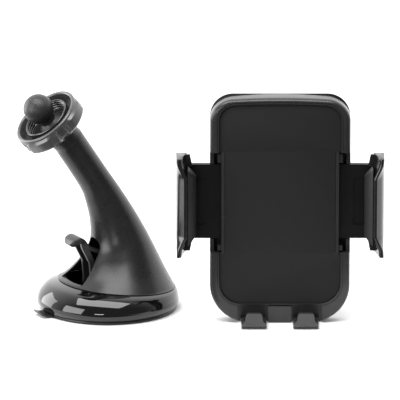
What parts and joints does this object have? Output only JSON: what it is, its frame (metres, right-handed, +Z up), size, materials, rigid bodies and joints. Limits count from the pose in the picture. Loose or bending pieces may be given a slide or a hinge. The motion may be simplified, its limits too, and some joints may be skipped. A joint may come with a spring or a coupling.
{
  "type": "car phone mount",
  "caption": "Suction-cup car phone mount: leaning arm with lock lever, ball head and collar nut, and its detached cradle with sliding spring jaws, sliding feet and a split ball socket.",
  "frame": {"origin": "centre of the suction face, on the surface that it holds to", "axes": "+Z up, away from the suction face; +X from the stand towards the cradle; the cradle's face looks along -Y"},
  "size_m": [0.1827, 0.0786, 0.1155],
  "materials": {
    "gel": "sticky clear-black gel",
    "cup_rubber": "smooth soft rubber",
    "inner_plastic": "plain moulded",
    "ring_gloss": "high gloss",
    "arm_satin": "satin, finely spark-eroded",
    "ball_satin": "fine texture",
    "screw_steel": "zinc plated",
    "pin_steel": "bright",
    "lever_satin": "satin",
    "nut_gloss": "semi-gloss",
    "insert_plastic": "moulded thread",
    "seat_rubber": "hard rubber",
    "collet_plastic": "satin",
    "case_satin": "satin",
    "pad_rubber": "very matt foam rubber",
    "cover_satin": "fine texture",
    "plate_steel": "stamped",
    "spring_steel": "drawn wire",
    "gear_plastic": "acetal",
    "slide_plastic": "plain moulded",
    "jaw_gloss": "semi-gloss",
    "jaw_rubber": "matt soft rubber",
    "button_gloss": "gloss",
    "foot_satin": "satin"
  },
  "bodies": {
    "stand": {"gel_pad": "gel", "suction_cup": "cup_rubber", "base_frame": "inner_plastic", "base_ring": "ring_gloss", "arm_shell": "arm_satin", "ball_stud": "ball_satin", "base_screws": "screw_steel"},
    "plunger": {"plunger": "pin_steel", "lever_pin": "pin_steel"},
    "lever": {"lever": "lever_satin"},
    "collar_guide": {"collar_guide": "inner_plastic"},
    "collar": {"collar_nut": "nut_gloss", "thread_insert": "insert_plastic"},
    "seat": {"ball_seat": "seat_rubber"},
    "collet": {"collet": "collet_plastic"},
    "cradle": {"front_shell": "case_satin", "face_pad": "pad_rubber", "back_cover": "cover_satin", "retainer_plate": "plate_steel", "retainer_screws": "screw_steel", "back_screws": "screw_steel", "pinion_axle": "pin_steel", "torsion_spring": "spring_steel", "button_spring": "spring_steel"},
    "left_jaw": {"left_rack": "slide_plastic", "left_jaw": "jaw_gloss", "left_jaw_pad": "jaw_rubber", "left_jaw_screws": "screw_steel"},
    "right_jaw": {"right_rack": "slide_plastic", "right_jaw": "jaw_gloss", "right_jaw_pad": "jaw_rubber", "right_jaw_screws": "screw_steel"},
    "pinion": {"pinion": "gear_plastic"},
    "release": {"release_button": "button_gloss", "pawl": "plate_steel"},
    "feet": {"foot_slide": "foot_satin", "foot_pads": "jaw_rubber"}
  },
  "joints": [
    {"name": "plunger_lift", "type": "slide", "parent": "stand", "child": "plunger", "axis": [0, 0, 1], "range_m": [0, 0.003]},
    {"name": "lever_pivot", "type": "hinge", "parent": "plunger", "child": "lever", "pos_m": [-0.00309, -0.00164, 0.013], "axis": [0.4695, -0.8829, 0], "range_deg": [0, 41]},
    {"name": "collar_slide", "type": "slide", "parent": "stand", "child": "collar_guide", "axis": [-0.5675, -0.3018, 0.766], "range_m": [-0.004, 0.003]},
    {"name": "collar_turn", "type": "hinge", "parent": "collar_guide", "child": "collar", "pos_m": [-0.03426, -0.01822, 0.1073], "axis": [-0.5675, -0.3018, 0.766], "continuous": true},
    {"name": "ball_tilt", "type": "hinge", "parent": "stand", "child": "seat", "pos_m": [0.0858, -0.008, 0.062], "axis": [1, 0, 0], "range_deg": [-20, 20]},
    {"name": "ball_pan", "type": "hinge", "parent": "seat", "child": "collet", "pos_m": [0.0858, -0.008, 0.062], "axis": [0, 0, 1], "range_deg": [-20, 20]},
    {"name": "cradle_turn", "type": "hinge", "parent": "collet", "child": "cradle", "pos_m": [0.0858, -0.008, 0.062], "axis": [0, 1, 0], "continuous": true},
    {"name": "jaw_close", "type": "slide", "parent": "cradle", "child": "left_jaw", "axis": [1, 0, 0], "range_m": [0, 0.0125]},
    {"name": "right_jaw_slide", "type": "slide", "parent": "cradle", "child": "right_jaw", "axis": [-1, 0, 0], "range_m": [0, 0.0125]},
    {"name": "pinion_turn", "type": "hinge", "parent": "cradle", "child": "pinion", "pos_m": [0.0858, -0.0238, 0.062], "axis": [0, 1, 0], "range_deg": [0, 143.3]},
    {"name": "release_slide", "type": "slide", "parent": "cradle", "child": "release", "axis": [0, 0, -1], "range_m": [0, 0.0025], "stiffness_N_per_m": 150, "springref_m": -0.002, "deforming": ["button_spring"]},
    {"name": "feet_slide", "type": "slide", "parent": "cradle", "child": "feet", "axis": [0, 0, -1], "range_m": [0, 0.012]}
  ],
  "couplings": [
    {"joint": "lever_pivot", "follows": "plunger_lift", "rad_per_m": 238.5},
    {"joint": "right_jaw_slide", "follows": "jaw_close", "ratio": 1},
    {"joint": "pinion_turn", "follows": "jaw_close", "rad_per_m": 200}
  ]
}
